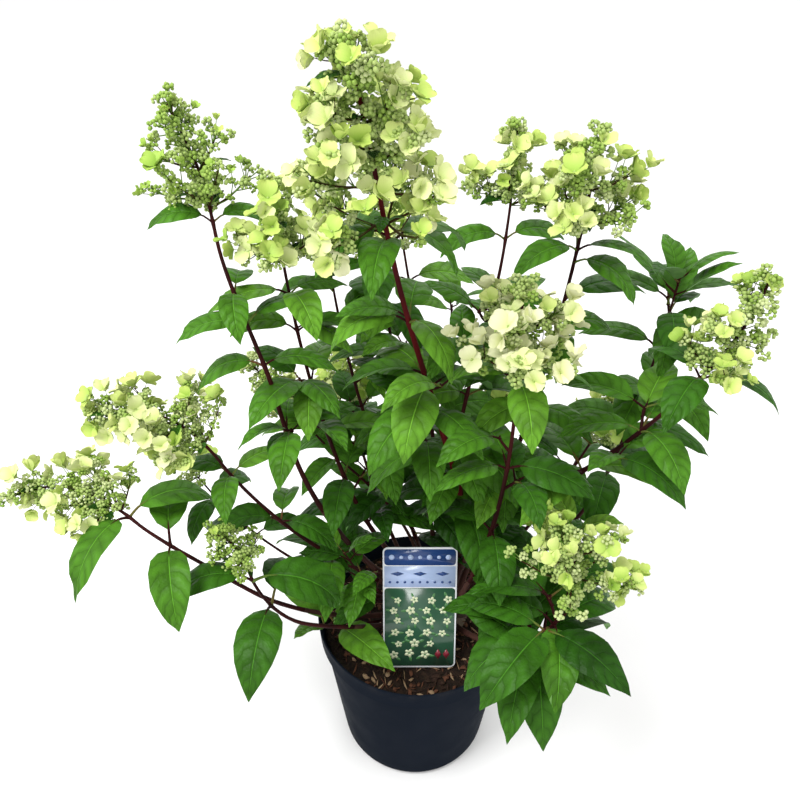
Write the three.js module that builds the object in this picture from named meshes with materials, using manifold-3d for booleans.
// A young panicle hydrangea in its nursery pot: arching red canes with opposite leaves and cone-shaped heads.
// Units are millimetres, +Z is up, and the origin is the centre of the pot's flat underside.
// Azimuth 0 points along +X and 90 along +Y. A lean is measured from the vertical.

import * as THREE from 'three';
import { mergeVertices } from 'three/addons/utils/BufferGeometryUtils.js';
import Module from 'manifold-3d';

const wasm = await Module();
wasm.setup();

const DEG = Math.PI / 180;

// Straight steps in a limb's or a head axis's curve, and those of a cane's lower limb that bear no leaves.
const LIMB_STEPS = 5;
const BARE_STEPS = 3;
const HEAD_STEPS = 3;

const HEAD_SEED = 4100;
const LEAF_SEED = 9200;

// Driving dimensions

const GAP = 0.3;

// Radii of a bare bough and of the leafy stem that goes on from it, as shares of half the cane's thickness.
const CANE = {
  boughSides: 5,
  boughFoot: 1.08,
  boughTip: 0.78,
  footDepth: 12,
  stemSides: 3,
  stemFoot: 0.76,
  stemTip: 0.3,
};

// The leafy tip of a shoot that bears no flowers.
const SHOOT = {
  tip: 12,
  leaves: 3,
  leafSize: 0.66,
  leafTurn: 45,
  leafLift: 40,
};

const POT = {
  rimRadius: 113,
  height: 208,
  baseRadius: 90,
  baseRounding: 10,
  collarHeight: 26,
  collarStep: 5,
  wall: 2.2,
  floor: 3,
  lipRounding: 1,
  sides: 32,
  drainHoles: 6,
  drainRadius: 6,
  drainCircle: 62,
};

const SOIL_LEVEL = 186;
const SOIL_FLARE = 0.2;

const STUMP = {
  centre: new THREE.Vector3(24, 4, SOIL_LEVEL),
  lean: 4,
  leanAzimuth: -60,
  sides: 12,
  // Height above the soil and radius, from the root flare over a shoulder to the sawn top.
  profile: [[0, 34], [5, 29.5], [16, 26.5], [30, 25], [37, 21], [41, 16.5], [52, 15], [57, 12]],
  // Swellings round the wood: share of the radius, count round, turn.
  lumps: [[0.05, 3, 1], [0.035, 5, 2]],
};

// Where the canes leave the stump: height above the soil and distance from its axis.
const TIERS = {
  low: { height: 15, radius: 22 },
  middle: { height: 34, radius: 20 },
  top: { height: 52, radius: 10.5 },
};

const LABEL = {
  width: 79,
  height: 147,
  thickness: 1.2,
  corner: 6,
  spikeWidth: 18,
  spikeLength: 62,
  tilt: 20,
  foot: new THREE.Vector3(3, -66, SOIL_LEVEL + 4),
};

// A leaf's blade is an oval with a long tip, folded along its midrib and bent down by its own weight.
const LEAF = {
  halfWidth: 0.235,
  thickness: 1.5,
  petiole: 0.13,
  petioleRadius: 1.3,
  fold: 20,
  lean: 68,
  stalkLift: 14,
  rootDepth: 0.17,
  smallest: 0.78,
  // How far a leaf's size, azimuth, lean, droop and roll may differ from its neighbours'.
  vary: { size: 0.16, azimuth: 16, lean: 14, droop: 30, roll: 26 },
  midribSteps: 8,
  // Where the blade's width is given: share of its length, share of its greatest half width.
  stations: [[0.26, 0.92], [0.62, 0.86]],
  shortStations: [[0.4, 1]],
  shortLength: 72,
  // The points that stand for a blade where room is looked for, as shares of its length.
  marks: [0.35, 0.65, 0.97],
  widest: 0.42,
};

// How far a leaf's marks keep from other things, and how a leaf may differ from its wish to find room.
const ROOM = {
  pot: 6,
  label: 6,
  // Above this height on the label, leaves keep this far off its face.
  labelBare: 40,
  labelFront: 80,
  ownStem: 4,
  cane: 8,
  canePitch: 9,
  blossom: 4,
  leaf: 10,
  headCore: 0.72,
  headShares: [0.25, 0.5, 0.75, 1],
  scales: [1, 0.82],
  bends: [0, -22, 22],
  turns: [0, 14, -14, 28, -28],
};

// A flower head's side twigs stand in rings. Each bears a knot of buds and, where it blooms, a floret of four
// sepals.
const HEAD = {
  firstLevel: 6,
  levelGap: 28,
  armSpacing: 52,
  maxArms: 5,
  armStagger: 2.8,
  // How far the last knot's twig starts beside the axis, so that no edges of the two run together.
  offAxis: 0.4,
  crowding: 0.85,
  twigRadius: 0.9,
  knotRadius: 9,
  floretRadius: 13,
  floretCup: 0.2,
  floretThickness: 1.3,
  pedicel: 12,
  floretTilt: [0.6, 0.8],
  // The cone's outline: its blunt top's share of the radius and the bend of its side.
  bluntTop: 0.14,
  sideBend: 0.8,
  // The rise of a side twig per reach, at the head's foot, added by its top, and its spread.
  lift: [0.3, 0.35, 0.16],
  // How far a twig's place round the axis, a knot's size and a floret's size may differ.
  vary: { angle: 0.06, size: 0.3 },
};

const COLOURS = {
  pot: 0x23262d,
  soil: 0x3a2a20,
  label: 0x4d6f9c,
  bark: 0x6b5140,
  cane: 0x5b2420,
  foliage: 0x3d7a2c,
};

// Each cane: its place on the stump, its lower limb, and the stem that turns on from there.
// bough: [azimuth, lean at foot, lean at tip, length, thickness], stem: [azimuth at end, lean at end, length]
// leaves: [first node from the limb's tip, gap, shrink of gap, nodes, leaves a node, azimuth, turn, length,
//   droop]
// head: [azimuth at tip, lean at tip, length, radius, share of twigs in bloom]; a cane without one ends in a
//   shoot tip
const CANES = [
  { name: 'leader', tier: 'top', at: -95, bough: [2, 22.7, -14.4, 184, 8.4], stem: [65, -18.7, 295],
    leaves: [-38, 80, 1, 5, 3, -100, 60, 84, 95], head: [59, -17.5, 138, 58, 0.9] },
  { name: 'left_tall', tier: 'middle', at: 178, bough: [192, 43, 6, 326, 6.6], stem: [104, 35, 190],
    leaves: [-20, 74, 0.9, 4, 2, 98, 90, 62, 85], head: [180, 18, 84, 46, 0.1] },
  { name: 'left_middle', tier: 'top', at: 175, bough: [179, 41, 16, 180, 6.2], stem: [176, 4, 254],
    leaves: [-46, 62, 0.97, 5, 2, -2, 90, 72, 75], head: [180, 2, 62, 38, 0.8] },
  { name: 'left_back', tier: 'middle', at: 112, bough: [159, 10, 24, 130, 5.6], stem: [130, 10, 275],
    leaves: [-44, 58, 0.97, 5, 2, -50, 90, 72, 80], head: [0, 8, 56, 28, 0.7] },
  { name: 'upright_back', tier: 'top', at: 108, bough: [136, 0, 20, 150, 6], stem: [128, 8, 260],
    leaves: [-42, 62, 0.97, 4, 2, -80, 90, 72, 80], head: [128, 0, 58, 28, 0.8] },
  { name: 'tall_back', tier: 'top', at: 62, bough: [114, 2, 20, 200, 6], stem: [106, 36, 188],
    leaves: [-44, 56, 0.95, 3, 2, -70, 90, 74, 80], head: [90, 10, 44, 26, 0.6] },
  { name: 'left_slender', tier: 'middle', at: 146, bough: [167, -2, 47, 183, 4.2], stem: [153, 44, 102],
    leaves: [-18, 52, 1, 2, 2, -30, 90, 52, 60], head: [180, 34, 66, 26, 0.7] },
  { name: 'right_slender', tier: 'top', at: 25, bough: [3, 5, -3, 178, 6], stem: [82, 36, 269],
    leaves: [-54, 74, 1, 5, 2, 190, 90, 66, 75], head: [82, -14, 66, 37, 0.6] },
  { name: 'right_tall', tier: 'middle', at: 5, bough: [-4, 12, 13, 170, 6.8], stem: [-3, 4, 294],
    leaves: [-49, 82, 1, 5, 3, -155, 60, 68, 85], head: [0, 0, 74, 46, 0.7] },
  { name: 'front_middle', tier: 'middle', at: -60, bough: [-53, 24, 13, 150, 6.6], stem: [-44, -4, 228],
    leaves: [-44, 82, 1.06, 4, 3, -150, 60, 74, 80], head: [0, 0, 72, 50, 1] },
  { name: 'right_arching', tier: 'middle', at: -38, bough: [-20, -2, 44, 228, 7], stem: [-1, 30, 190],
    leaves: [-18, 68, 1, 4, 3, 170, 60, 76, 75], head: [0, 6, 92, 33, 0.5] },
  { name: 'right_shoot', tier: 'low', at: 12, bough: [8, 64, 13, 257, 5.6], stem: [37, 4, 211],
    leaves: [0, 56, 0.88, 5, 2, 60, 90, 80, 70] },
  { name: 'front_right_low', tier: 'low', at: -50, bough: [-57, 68, 46, 106, 6.6], stem: [-30, -2, 172],
    leaves: [61, 24, 1, 3, 3, -95, 60, 94, 90], head: [0, 0, 56, 54, 0.35] },
  { name: 'left_low_long', tier: 'low', at: -176, bough: [-161, 81, 33, 242, 6.2], stem: [-213, 70, 134],
    leaves: [78, 48, 1, 2, 2, -80, -60, 90, 90], head: [-172, 112, 122, 36, 0.6] },
  { name: 'front_left_low', tier: 'low', at: -145, bough: [-148, 68, 47, 167, 6], stem: [-227, 21, 99],
    leaves: [50, 34, 1, 2, 2, -95, 90, 92, 100], head: [-180, 60, 50, 32, 0] },
  { name: 'left_arching', tier: 'middle', at: -148, bough: [-171, 40, 46, 128, 6], stem: [-179, 24, 204],
    leaves: [14, 76, 1, 3, 3, 30, 60, 66, 80], head: [-180, 110, 112, 42, 0.7] },
  { name: 'left_low_slender', tier: 'low', at: 165, bough: [176, 78, 44, 194, 4.2], stem: [166, 31, 108],
    leaves: [20, 62, 1, 2, 2, -20, 90, 62, 90], head: [180, 60, 58, 25, 0.6] },
  { name: 'back_right', tier: 'low', at: 62, bough: [60, 56, 26, 120, 6], stem: [52, 14, 120],
    leaves: [16, 48, 0.9, 3, 2, 20, 90, 80, 80], head: [52, 4, 60, 36, 0.4] },
  { name: 'back_middle', tier: 'middle', at: 78, bough: [88, 30, 20, 150, 6], stem: [82, 22, 170],
    leaves: [16, 52, 0.95, 3, 2, 45, 90, 82, 80] },
  { name: 'back_left', tier: 'low', at: 128, bough: [128, 58, 30, 130, 6], stem: [138, 16, 130],
    leaves: [16, 50, 0.9, 3, 2, 70, 90, 80, 80], head: [138, 4, 60, 36, 0.4] },
  { name: 'right_back_low', tier: 'low', at: 34, bough: [30, 66, 42, 150, 5.6], stem: [20, 24, 110],
    leaves: [17, 45, 0.9, 3, 2, -37, 90, 80, 80], head: [20, 10, 56, 33, 0.6] },
  { name: 'front_left_shoot', tier: 'low', at: -125, bough: [-168, 44, 34, 74, 4.6], stem: [-150, 20, 92],
    leaves: [16, 36, 0.9, 3, 2, 190, 90, 60, 70] },
  { name: 'rim_sprout', tier: 'low', at: -160, bough: [-163, 80, 84, 78, 3.6], stem: [-166, 60, 30],
    leaves: [20, 20, 1, 1, 2, -45, 90, 88, 60] },
  { name: 'front_right_shoot', tier: 'low', at: -18, bough: [-24, 52, 34, 84, 4.8], stem: [-20, 16, 130],
    leaves: [14, 36, 0.95, 4, 2, 200, 90, 70, 80] },
];

/** A small repeatable source of numbers between 0 and 1. */
function seeded(seed) {
  let state = seed;
  return () => {
    state = (state + 0x6d2b79f5) >>> 0;
    let t = state;
    t = Math.imul(t ^ (t >>> 15), t | 1);
    t ^= t + Math.imul(t ^ (t >>> 7), t | 61);
    return ((t ^ (t >>> 14)) >>> 0) / 4294967296;
  };
}

function heading(azimuth, lean) {
  const [out, turn] = [Math.sin(lean * DEG), azimuth * DEG];
  return new THREE.Vector3(out * Math.cos(turn), out * Math.sin(turn), Math.cos(lean * DEG));
}

/** Points along a limb whose azimuth and lean turn evenly from one end to the other. */
function walk(start, azimuths, leans, length, steps) {
  const points = [start.clone()];
  for (let i = 0; i < steps; i += 1) {
    const t = (i + 0.5) / steps;
    const azimuth = azimuths[0] + (azimuths[1] - azimuths[0]) * t;
    const lean = leans[0] + (leans[1] - leans[0]) * t;
    points.push(points[i].clone().addScaledVector(heading(azimuth, lean), length / steps));
  }
  return points;
}

/** The point and direction at a distance along a line of points. */
function along(points, distance) {
  let left = distance;
  for (let i = 1; i < points.length; i += 1) {
    const step = points[i].clone().sub(points[i - 1]);
    const size = step.length();
    if (left <= size || i === points.length - 1) {
      return { point: points[i - 1].clone().addScaledVector(step, left / size), direction: step.normalize() };
    }
    left -= size;
  }
  return null;
}

/** Two directions square to a third, the first one level. */
function crossAxes(direction) {
  const level = Math.abs(direction.z) > 0.99 ? new THREE.Vector3(0, 1, 0) : new THREE.Vector3(0, 0, 1);
  const side = new THREE.Vector3().crossVectors(direction, level).normalize();
  return { side, up: new THREE.Vector3().crossVectors(side, direction).normalize() };
}

/** A closed solid through a row of rings; the last ring may be a single point, and ring sizes may differ. */
function loft(rings) {
  const positions = [];
  const starts = rings.map((ring) => {
    const start = positions.length / 3;
    ring.forEach((p) => positions.push(p.x, p.y, p.z));
    return start;
  });
  const faces = [];
  for (let i = 2; i < rings[0].length; i += 1) faces.push(0, i - 1, i);
  for (let k = 1; k < rings.length; k += 1) {
    const [a, b] = [rings[k - 1].length, rings[k].length];
    const [p, q] = [starts[k - 1], starts[k]];
    let [i, j] = [0, 0];
    while (i < a || (b > 1 && j < b)) {
      const stepFirst = b === 1 || (i < a && (i + 1) / a <= (j + 1) / b);
      if (stepFirst) {
        faces.push(p + (i % a), q + (j % b), p + ((i + 1) % a));
        i += 1;
      } else {
        faces.push(p + (i % a), q + (j % b), q + ((j + 1) % b));
        j += 1;
      }
    }
  }
  const last = rings[rings.length - 1].length;
  const end = starts[starts.length - 1];
  for (let i = 2; i < last; i += 1) faces.push(end, end + i, end + i - 1);
  const geometry = new THREE.BufferGeometry();
  geometry.setAttribute('position', new THREE.Float32BufferAttribute(positions, 3));
  geometry.setIndex(faces);
  return toSolid(geometry);
}

/** Turns a closed three.js geometry into a solid that can be joined and cut. */
function toSolid(geometry) {
  const bare = geometry.clone();
  bare.deleteAttribute('normal');
  bare.deleteAttribute('uv');
  const merged = mergeVertices(bare, 1e-4);
  return new wasm.Manifold(new wasm.Mesh({
    numProp: 3,
    vertProperties: new Float32Array(merged.attributes.position.array),
    triVerts: new Uint32Array(merged.index.array),
  }));
}

/** The largest body of a solid, without loose scraps or the walls of sealed hollows. */
function mainBody(solid) {
  return solid.decompose().reduce((best, body) => (body.volume() > best.volume() ? body : best));
}

function ringAt(centre, direction, radius, sides) {
  const { side, up } = crossAxes(direction);
  return Array.from({ length: sides }, (_, i) => {
    const angle = (i / sides) * 2 * Math.PI;
    return centre.clone()
      .addScaledVector(side, radius * Math.cos(angle))
      .addScaledVector(up, radius * Math.sin(angle));
  });
}

/** A tapering limb along a line of points, whose end faces may be given the directions that they look in. */
function limb(points, startRadius, endRadius, sides, faces = {}) {
  const last = points.length - 1;
  return loft(points.map((point, i) => {
    const across = points[Math.min(i + 1, last)].clone().sub(points[Math.max(i - 1, 0)]).normalize();
    const direction = (i === 0 && faces.start) || (i === last && faces.end) || across;
    return ringAt(point, direction, startRadius + (endRadius - startRadius) * (i / last), sides);
  }));
}

/** The stump of old wood: a lumpy round with a root flare, grown by a margin where room is made for it. */
function stumpSolid(margin) {
  const rise = heading(STUMP.leanAzimuth, STUMP.lean);
  const rings = STUMP.profile.map(([height, radius], level) => {
    const isEnd = level === 0 || level === STUMP.profile.length - 1;
    const lift = isEnd ? Math.sign(level - 1) * margin : 0;
    const centre = STUMP.centre.clone().addScaledVector(rise, height);
    centre.z = STUMP.centre.z + height + lift;
    return Array.from({ length: STUMP.sides }, (_, i) => {
      const angle = (-i / STUMP.sides) * 2 * Math.PI;
      const lump = ([share, count, turn]) => share * Math.sin(count * angle + turn);
      const swell = STUMP.lumps.reduce((sum, entry) => sum + lump(entry), 1);
      const reach = radius * swell + margin;
      return new THREE.Vector3(reach * Math.cos(angle), reach * Math.sin(angle), 0).add(centre);
    });
  });
  return loft(rings);
}

/** One leaf: a three-cornered stalk that widens to a folded blade with four-cornered sections. */
function leafSolid(leaf, margin) {
  const rings = [ringAt(leaf.root, heading(leaf.azimuth, leaf.stalkLean), LEAF.petioleRadius + margin, 3)];
  const midrib = leafMidrib(leaf);
  const stations = leaf.length < LEAF.shortLength ? LEAF.shortStations : LEAF.stations;
  stations.forEach(([t, share]) => {
    const { point, direction } = along(midrib, t * leaf.length);
    const { side, up } = leafAxes(direction, leaf.roll);
    const half = leaf.length * LEAF.halfWidth * share + margin;
    const [reach, raise] = [half * Math.cos(LEAF.fold * DEG), half * Math.sin(LEAF.fold * DEG)];
    rings.push([
      point.clone().addScaledVector(side, reach).addScaledVector(up, raise),
      point.clone().addScaledVector(up, LEAF.thickness / 2 + margin),
      point.clone().addScaledVector(side, -reach).addScaledVector(up, raise),
      point.clone().addScaledVector(up, -LEAF.thickness / 2 - margin),
    ]);
  });
  const tip = midrib[midrib.length - 1];
  rings.push([tip]);
  return loft(rings);
}

function leafMidrib(leaf) {
  const base = leaf.root.clone().addScaledVector(heading(leaf.azimuth, leaf.stalkLean), leaf.stalk);
  const leans = [leaf.lean, leaf.lean + leaf.droop];
  return walk(base, [leaf.azimuth, leaf.azimuth], leans, leaf.length, LEAF.midribSteps);
}

function leafAxes(direction, roll) {
  const { side, up } = crossAxes(direction);
  const [c, s] = [Math.cos(roll * DEG), Math.sin(roll * DEG)];
  return {
    side: side.clone().multiplyScalar(c).addScaledVector(up, s),
    up: up.clone().multiplyScalar(c).addScaledVector(side, -s),
  };
}

/** A side twig of a flower head with its knot of buds. */
function knotSolid(twig, margin) {
  const direction = twig.end.clone().sub(twig.root).normalize();
  const knot = twig.knot + margin;
  const beyond = (distance) => twig.end.clone().addScaledVector(direction, distance);
  return loft([
    ringAt(twig.root, direction, HEAD.twigRadius + margin, 3),
    ringAt(beyond(-twig.knot), direction, HEAD.twigRadius + margin, 3),
    ringAt(twig.end, direction, knot, 4),
    [beyond(twig.knot * 0.9 + margin)],
  ]);
}

/** A sterile floret: a thin cup with a corner for each of its four sepals, on its stalk. */
function floretSolid(floret, margin) {
  const { root, centre, radius } = floret;
  const direction = centre.clone().sub(root).normalize();
  const { side, up } = crossAxes(direction);
  const rim = Array.from({ length: 4 }, (_, i) => {
    const angle = (i / 4) * 2 * Math.PI + floret.spin;
    return centre.clone()
      .addScaledVector(direction, radius * HEAD.floretCup)
      .addScaledVector(side, (radius + margin) * Math.cos(angle))
      .addScaledVector(up, (radius + margin) * Math.sin(angle));
  });
  return loft([
    ringAt(root, direction, HEAD.twigRadius + margin, 3),
    ringAt(centre.clone().addScaledVector(direction, -HEAD.floretThickness - margin), direction,
      HEAD.twigRadius + margin, 3),
    rim,
    [centre.clone().addScaledVector(direction, HEAD.floretThickness / 2 + margin)],
  ]);
}

/** The lines that a cane follows: its bare bough, its leafy stem, and the axis of its head. */
function caneLines(cane) {
  const tier = TIERS[cane.tier];
  const rise = heading(STUMP.leanAzimuth, STUMP.lean);
  const foot = STUMP.centre.clone().addScaledVector(rise, tier.height);
  foot.x += tier.radius * Math.cos(cane.at * DEG);
  foot.y += tier.radius * Math.sin(cane.at * DEG);
  const [azimuth, footLean, topLean, length, thickness] = cane.bough;
  const [endAzimuth, endLean, stemLength] = cane.stem;
  const lower = walk(foot, [azimuth, azimuth], [footLean, topLean], length, LIMB_STEPS);
  const upper = walk(lower[LIMB_STEPS], [azimuth, endAzimuth], [topLean, endLean], stemLength, LIMB_STEPS);
  const bough = lower.slice(0, BARE_STEPS + 1);
  const onward = lower[BARE_STEPS + 1].clone().sub(lower[BARE_STEPS - 1]).normalize();
  const join = lower[BARE_STEPS].clone().addScaledVector(onward, GAP);
  const stem = [join, ...lower.slice(BARE_STEPS + 1), ...upper.slice(1)];
  const leafyLimb = length * (1 - BARE_STEPS / LIMB_STEPS) - GAP;
  const end = upper[LIMB_STEPS];
  const head = cane.head
    ? walk(end, [endAzimuth, cane.head[0]], [endLean, cane.head[1]], cane.head[2], HEAD_STEPS)
    : walk(end, [endAzimuth, endAzimuth], [endLean, endLean], SHOOT.tip, 1);
  return { bough, stem, head, thickness, leafyLimb, onward };
}

/** A head's radius at a share of its height: a cone with a blunt top. */
function headRadius(cane, share) {
  return cane.head[3] * ((1 - share) ** HEAD.sideBend * (1 - HEAD.bluntTop) + HEAD.bluntTop);
}

/** The twigs and florets of a flower head: rings of side twigs up its axis, and a last knot at the tip. */
function headPieces(cane, lines, random) {
  const [, , length, , bloom] = cane.head;
  const pieces = [];
  let level = 0;
  for (let rise = HEAD.firstLevel; rise < length - HEAD.levelGap / 2; rise += HEAD.levelGap) {
    const share = rise / length;
    const { point, direction } = along(lines.head, rise);
    const { side, up } = crossAxes(direction);
    const reach = headRadius(cane, share) - HEAD.knotRadius * 0.5;
    const arms = Math.min(HEAD.maxArms, Math.max(2, Math.round((2 * Math.PI * reach) / HEAD.armSpacing)));
    for (let arm = 0; arm < arms; arm += 1) {
      const angle = ((arm + level / 2) / arms + (random() - 0.5) * HEAD.vary.angle) * 2 * Math.PI;
      const lift = HEAD.lift[0] + HEAD.lift[1] * share + HEAD.lift[2] * random();
      const knot = HEAD.knotRadius * (1 + HEAD.vary.size * (random() - 0.5));
      const blooms = random() < bloom;
      const spin = random() * Math.PI;
      const size = HEAD.floretRadius * (1 + HEAD.vary.size * (random() - 0.5));
      const outward = side.clone().multiplyScalar(Math.cos(angle)).addScaledVector(up, Math.sin(angle));
      const end = point.clone().addScaledVector(outward, reach).addScaledVector(direction, reach * lift);
      const root = point.clone().addScaledVector(outward, 0.5)
        .addScaledVector(direction, (arm - (arms - 1) / 2) * HEAD.armStagger);
      pieces.push({ kind: 'knot', root, end, knot });
      if (blooms) {
        const tilt = outward.clone().multiplyScalar(HEAD.floretTilt[0])
          .addScaledVector(direction, HEAD.floretTilt[1]).normalize();
        const centre = end.clone().addScaledVector(tilt, HEAD.pedicel);
        pieces.push({ kind: 'floret', root: end, centre, radius: size, spin });
      }
    }
    level += 1;
  }
  const tip = lines.head[HEAD_STEPS];
  const top = tip.clone().sub(lines.head[HEAD_STEPS - 1]).normalize();
  const root = tip.clone().addScaledVector(top, -HEAD.levelGap / 2);
  root.addScaledVector(crossAxes(top).side, HEAD.offAxis);
  const end = tip.clone().addScaledVector(top, -HEAD.knotRadius * 0.6);
  pieces.push({ kind: 'knot', root, end, knot: HEAD.knotRadius * 0.8 });
  return pieces;
}

/** The leaves of a stem as first wished for, before room is looked for. */
function wishedLeaves(cane, lines, random) {
  const [first, gap, shrink, nodes, whorl, azimuth, turn, length, droop] = cane.leaves;
  const leaves = [];
  const stemLength = lines.leafyLimb + cane.stem[2];
  let distance = lines.leafyLimb + first;
  let step = gap;
  for (let node = 0; node < nodes; node += 1) {
    const { point } = along(lines.stem, Math.min(distance, stemLength - 2));
    const size = 1 - (1 - LEAF.smallest) * Math.max(0, node - 1) / Math.max(1, nodes - 1);
    for (let i = 0; i < whorl; i += 1) {
      const toward = azimuth + turn * node + (360 / whorl) * i;
      leaves.push(oneLeaf(point, lines.thickness * LEAF.rootDepth, toward, length * size, droop, random));
    }
    distance += step;
    step *= shrink;
  }
  if (!cane.head) {
    for (let i = 0; i < SHOOT.leaves; i += 1) {
      const { point } = along(lines.head, (i + 1) * SHOOT.tip / (SHOOT.leaves + 1));
      const toward = azimuth + (360 / SHOOT.leaves) * i + SHOOT.leafTurn;
      const leaf = oneLeaf(point, 0, toward, length * SHOOT.leafSize, droop, random);
      leaf.lean -= SHOOT.leafLift;
      leaves.push(leaf);
    }
  }
  return leaves;
}

function oneLeaf(point, rootDepth, azimuth, length, droop, random) {
  const size = length * (1 + LEAF.vary.size * (random() - 0.5));
  const turned = azimuth + LEAF.vary.azimuth * (random() - 0.5);
  const outward = heading(turned, 90);
  const lean = LEAF.lean + LEAF.vary.lean * (random() - 0.5);
  return {
    root: point.clone().addScaledVector(outward, rootDepth),
    azimuth: turned,
    stalkLean: lean - LEAF.stalkLift,
    stalk: size * LEAF.petiole + 2,
    lean,
    droop: droop + LEAF.vary.droop * (random() - 0.5),
    roll: LEAF.vary.roll * (random() - 0.5),
    length: size,
  };
}

/** A few points that stand for a leaf where room is looked for. */
function leafMarks(leaf) {
  const midrib = leafMidrib(leaf);
  const marks = LEAF.marks.map((t) => along(midrib, t * leaf.length).point);
  const { point, direction } = along(midrib, LEAF.widest * leaf.length);
  const { side } = leafAxes(direction, leaf.roll);
  const half = leaf.length * LEAF.halfWidth;
  marks.push(point.clone().addScaledVector(side, half), point.clone().addScaledVector(side, -half));
  return marks;
}

/** The pot's outer radius at a height. */
function potRadius(height) {
  const collarFoot = POT.height - POT.collarHeight;
  const under = POT.rimRadius - POT.collarStep;
  if (height > collarFoot) {
    return POT.rimRadius - 1 + (height - collarFoot) / POT.collarHeight;
  }
  const share = Math.max(0, height - POT.baseRounding) / (collarFoot - POT.baseRounding);
  return POT.baseRadius + (under - POT.baseRadius) * share;
}

function clearOfPot(p, margin) {
  const r = Math.hypot(p.x, p.y);
  if (p.z < 2) return false;
  if (p.z > POT.height + margin) return true;
  if (r > potRadius(p.z) + margin) return true;
  return p.z > SOIL_LEVEL + margin && r < POT.rimRadius - POT.collarStep - POT.wall - margin;
}

function clearOfLabel(p, margin) {
  const local = p.clone().sub(LABEL.foot);
  const rise = local.y * Math.sin(LABEL.tilt * DEG) + local.z * Math.cos(LABEL.tilt * DEG);
  const off = local.y * Math.cos(LABEL.tilt * DEG) - local.z * Math.sin(LABEL.tilt * DEG);
  const beside = Math.abs(local.x) > LABEL.width / 2 + margin;
  const front = rise > ROOM.labelBare ? ROOM.labelFront : margin;
  return beside || rise > LABEL.height + margin || off > margin || off < -front;
}

/** Whether a leaf keeps clear of the pot, the label, all canes, all heads and the leaves placed before it. */
function hasRoom(leaf, room, own) {
  const marks = leafMarks(leaf);
  for (const mark of marks) {
    if (!clearOfPot(mark, ROOM.pot) || !clearOfLabel(mark, ROOM.label)) return false;
    for (const line of room.lines) {
      const margin = line.owner === own ? ROOM.ownStem : ROOM.cane;
      if (line.points.some((p) => p.distanceTo(mark) < margin)) return false;
    }
    if (room.blossom.some((ball) => ball.point.distanceTo(mark) < ball.radius + ROOM.blossom)) return false;
    if (room.heads.some((ball) => ball.point.distanceTo(mark) < ball.radius)) return false;
    if (room.marks.some((p) => p.distanceTo(mark) < ROOM.leaf)) return false;
  }
  return true;
}

/** Whether a knot or floret stands free of all others; if so its place is taken. */
function takesRoom(piece, room) {
  const point = piece.kind === 'knot' ? piece.end : piece.centre;
  const radius = piece.kind === 'knot' ? piece.knot : piece.radius * 0.6;
  const isParent = (ball) => piece.kind === 'floret' && ball.point.distanceTo(piece.root) < 1;
  if (piece.kind === 'floret' && !room.blossom.some(isParent)) return false;
  const free = room.blossom.every((ball) => isParent(ball)
    || ball.point.distanceTo(point) > (ball.radius + radius) * HEAD.crowding);
  if (free) room.blossom.push({ point, radius });
  return free;
}

/** The leaf, turned, lifted or shortened a little until it has room, or null. */
function fitLeaf(wish, room, own) {
  for (const scale of ROOM.scales) {
    for (const bend of ROOM.bends) {
      for (const turn of ROOM.turns) {
        const bearing = { azimuth: wish.azimuth + turn, droop: wish.droop + bend };
        const leaf = { ...wish, ...bearing, length: wish.length * scale };
        if (hasRoom(leaf, room, own)) return leaf;
      }
    }
  }
  return null;
}

/** Every cane's lines, head pieces and leaves, worked out together so that they keep apart. */
function growPlant() {
  const canes = CANES.map((cane, index) => ({ cane, index, lines: caneLines(cane) }));
  const room = { lines: [], heads: [], blossom: [], marks: [] };
  canes.forEach(({ cane, index, lines }) => {
    const length = cane.bough[3] + cane.stem[2];
    const whole = [...lines.bough, ...lines.stem.slice(1)];
    const count = Math.floor(length / ROOM.canePitch);
    const points = Array.from({ length: count }, (_, i) => along(whole, i * ROOM.canePitch).point);
    room.lines.push({ owner: index, points });
    if (!cane.head) return;
    ROOM.headShares.forEach((share) => {
      const { point } = along(lines.head, share * cane.head[2]);
      room.heads.push({ point, radius: headRadius(cane, share) * ROOM.headCore });
    });
  });
  canes.forEach((grown) => {
    const random = seeded(HEAD_SEED + grown.index);
    const wished = grown.cane.head ? headPieces(grown.cane, grown.lines, random) : [];
    grown.pieces = wished.filter((piece) => takesRoom(piece, room));
  });
  canes.forEach((grown) => {
    const random = seeded(LEAF_SEED + grown.index);
    grown.leaves = [];
    wishedLeaves(grown.cane, grown.lines, random).forEach((wish) => {
      const leaf = fitLeaf(wish, room, grown.index);
      if (!leaf) return;
      grown.leaves.push(leaf);
      room.marks.push(...leafMarks(leaf));
    });
  });
  return canes;
}

/** Keeps solids apart: remembers what is placed and refuses what would touch another's piece. */
class Space {
  constructor() {
    this.taken = [];
  }

  add(owner, solid) {
    this.taken.push({ owner, solid, box: solid.boundingBox() });
  }

  isFree(owner, solid) {
    const box = solid.boundingBox();
    const meets = (other) => [0, 1, 2].every((k) => box.min[k] < other.max[k] && other.min[k] < box.max[k]);
    return !this.taken.some((item) => item.owner !== owner && meets(item.box)
      && !solid.intersect(item.solid).isEmpty());
  }
}

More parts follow.
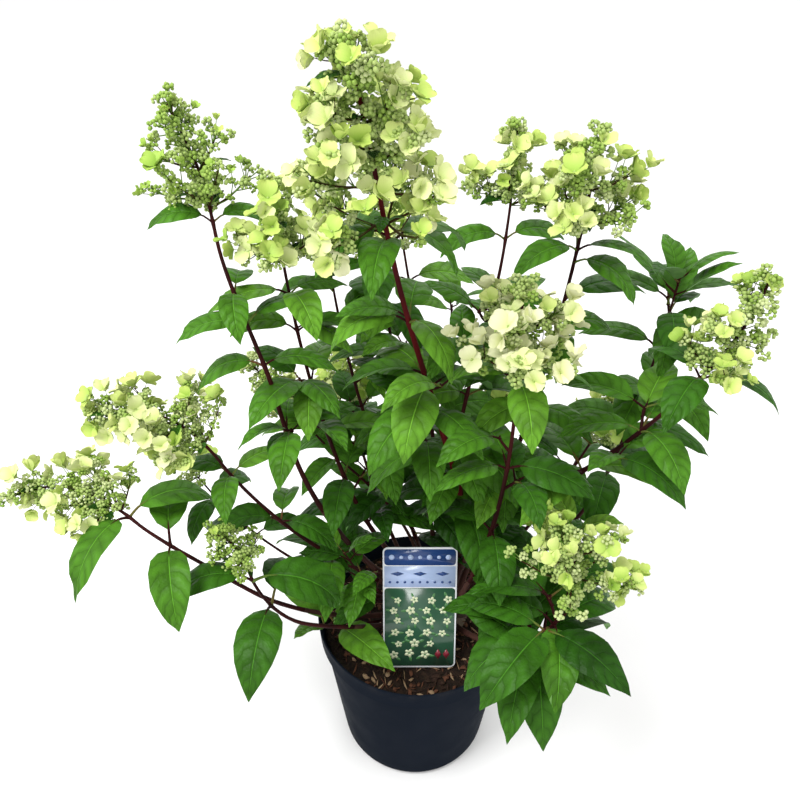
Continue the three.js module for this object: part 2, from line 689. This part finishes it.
function potSolid() {
  const { rimRadius: rim, height, baseRadius: base, baseRounding: round, wall, floor } = POT;
  const collarFoot = height - POT.collarHeight;
  const under = rim - POT.collarStep;
  const profile = [[0, 0], [base - round, 0]];
  for (let i = 1; i <= 3; i += 1) {
    const angle = (i / 3) * (Math.PI / 2);
    profile.push([base - round + round * Math.sin(angle), round - round * Math.cos(angle)]);
  }
  profile.push([under, collarFoot], [rim - 1, collarFoot + 1]);
  profile.push([rim, height - 1], [rim - POT.lipRounding, height]);
  profile.push([rim - wall, height], [rim - wall - 1, collarFoot + wall], [under - wall, collarFoot]);
  profile.push([base - wall, round], [base - round, floor], [0, floor]);
  const points = profile.map(([r, z]) => new THREE.Vector2(r, z));
  const geometry = new THREE.LatheGeometry(points, POT.sides);
  geometry.rotateX(Math.PI / 2);
  let solid = toSolid(geometry);
  for (let i = 0; i < POT.drainHoles; i += 1) {
    const angle = (i / POT.drainHoles) * 2 * Math.PI;
    const hole = new THREE.CylinderGeometry(POT.drainRadius, POT.drainRadius, floor * 4, 8);
    hole.rotateX(Math.PI / 2);
    hole.translate(POT.drainCircle * Math.cos(angle), POT.drainCircle * Math.sin(angle), 0);
    solid = solid.subtract(toSolid(hole));
  }
  return solid;
}

/** The potting soil that fills the pot, with the slot for the label's spike. */
function soilSolid() {
  const { baseRadius: base, baseRounding: round, wall, floor } = POT;
  const collarFoot = POT.height - POT.collarHeight;
  const under = POT.rimRadius - POT.collarStep - wall - GAP;
  const wallTop = under + (SOIL_LEVEL - collarFoot) * SOIL_FLARE;
  const points = [
    [0, floor + GAP], [base - round - GAP, floor + GAP], [base - wall - GAP, round + GAP],
    [under, collarFoot], [wallTop, SOIL_LEVEL], [0, SOIL_LEVEL],
  ].map(([r, z]) => new THREE.Vector2(r, z));
  const geometry = new THREE.LatheGeometry(points, POT.sides);
  geometry.rotateX(Math.PI / 2);
  return toSolid(geometry).subtract(labelSolid(GAP));
}

/** The plant label: a thin card with round corners on a pointed spike, leaning back a little. */
function labelSolid(margin) {
  const { width, height, corner, spikeWidth, spikeLength } = LABEL;
  const half = width / 2 + margin;
  const spike = spikeWidth / 2 + margin;
  const top = height + margin;
  const shape = new THREE.Shape();
  shape.moveTo(-half + corner, -margin);
  shape.lineTo(-spike, -margin);
  shape.lineTo(-spike, -spikeLength + spike);
  shape.lineTo(0, -spikeLength - margin);
  shape.lineTo(spike, -spikeLength + spike);
  shape.lineTo(spike, -margin);
  shape.lineTo(half - corner, -margin);
  shape.absarc(half - corner, corner - margin, corner, -Math.PI / 2, 0);
  shape.absarc(half - corner, top - corner, corner, 0, Math.PI / 2);
  shape.absarc(-half + corner, top - corner, corner, Math.PI / 2, Math.PI);
  shape.absarc(-half + corner, corner - margin, corner, Math.PI, 1.5 * Math.PI);
  const depth = LABEL.thickness + 2 * margin;
  const geometry = new THREE.ExtrudeGeometry(shape, { depth, bevelEnabled: false, curveSegments: 4 });
  geometry.translate(0, 0, -depth / 2);
  geometry.rotateX(Math.PI / 2 - LABEL.tilt * DEG);
  geometry.translate(LABEL.foot.x, LABEL.foot.y, LABEL.foot.z);
  return toSolid(geometry);
}

function material(colour, roughness) {
  return new THREE.MeshStandardMaterial({ color: colour, roughness, metalness: 0 });
}

function toMesh(name, solid, finish) {
  const { vertProperties, triVerts } = solid.getMesh();
  const geometry = new THREE.BufferGeometry();
  geometry.setAttribute('position', new THREE.Float32BufferAttribute(vertProperties, 3));
  geometry.setIndex(Array.from(triVerts));
  geometry.computeVertexNormals();
  const mesh = new THREE.Mesh(geometry, finish);
  mesh.name = name;
  return mesh;
}

/** The bare lower limb of a cane, cut clear of the stump. */
function boughSolid(lines, stumpRoom) {
  const radius = lines.thickness / 2;
  const back = lines.bough[0].clone().sub(lines.bough[1]).normalize();
  const start = lines.bough[0].clone().addScaledVector(back, CANE.footDepth);
  const line = [start, ...lines.bough.slice(1)];
  const faces = { end: lines.onward };
  const solid = limb(line, radius * CANE.boughFoot, radius * CANE.boughTip, CANE.boughSides, faces);
  return mainBody(solid.subtract(stumpRoom));
}

/** Joins the stem, head and leaves of one cane into one body, leaving out what would touch another mass. */
function massSolid(grown, space) {
  const owner = grown.cane.name;
  let solid = grown.stemSolid;
  grown.heads.forEach((piece) => {
    solid = solid.add(piece);
  });
  grown.leaves.forEach((leaf) => {
    if (!space.isFree(owner, leafSolid(leaf, GAP))) return;
    const piece = leafSolid(leaf, 0);
    space.add(owner, piece);
    solid = solid.add(piece);
  });
  return mainBody(solid);
}

function buildPart() {
  const group = new THREE.Group();
  const space = new Space();
  const place = (name, solid, finish) => {
    group.add(toMesh(name, solid, finish));
    return solid;
  };
  const finishes = {
    pot: material(COLOURS.pot, 0.55),
    soil: material(COLOURS.soil, 0.95),
    label: material(COLOURS.label, 0.35),
    bark: material(COLOURS.bark, 0.85),
    cane: material(COLOURS.cane, 0.5),
    foliage: material(COLOURS.foliage, 0.5),
  };
  space.add('pot', place('pot', potSolid(), finishes.pot));
  space.add('potting_soil', place('potting_soil', soilSolid(), finishes.soil));
  space.add('plant_label', place('plant_label', labelSolid(0), finishes.label));
  const stump = stumpSolid(0).translate([0, 0, GAP]);
  space.add('trunk', place('trunk', stump, finishes.bark));
  const stumpRoom = stumpSolid(GAP).translate([0, 0, GAP]);
  const canes = growPlant();
  canes.forEach((grown) => {
    const bough = boughSolid(grown.lines, stumpRoom);
    space.add(`${grown.cane.name}_bough`, place(`cane_${grown.cane.name}`, bough, finishes.cane));
    const radius = grown.lines.thickness / 2;
    const line = [...grown.lines.stem, ...grown.lines.head.slice(1)];
    const faces = { start: grown.lines.onward };
    grown.stemSolid = limb(line, radius * CANE.stemFoot, radius * CANE.stemTip, CANE.stemSides, faces);
    space.add(grown.cane.name, grown.stemSolid);
  });
  canes.forEach((grown) => {
    const owner = grown.cane.name;
    grown.heads = [];
    grown.pieces.forEach((piece) => {
      const make = piece.kind === 'knot' ? knotSolid : floretSolid;
      if (!space.isFree(owner, make(piece, GAP))) return;
      grown.heads.push(make(piece, 0));
    });
    grown.heads.forEach((piece) => space.add(owner, piece));
  });
  canes.forEach((grown) => {
    place(`foliage_${grown.cane.name}`, massSolid(grown, space), finishes.foliage);
  });
  return group;
}

const group = buildPart();

export default group;
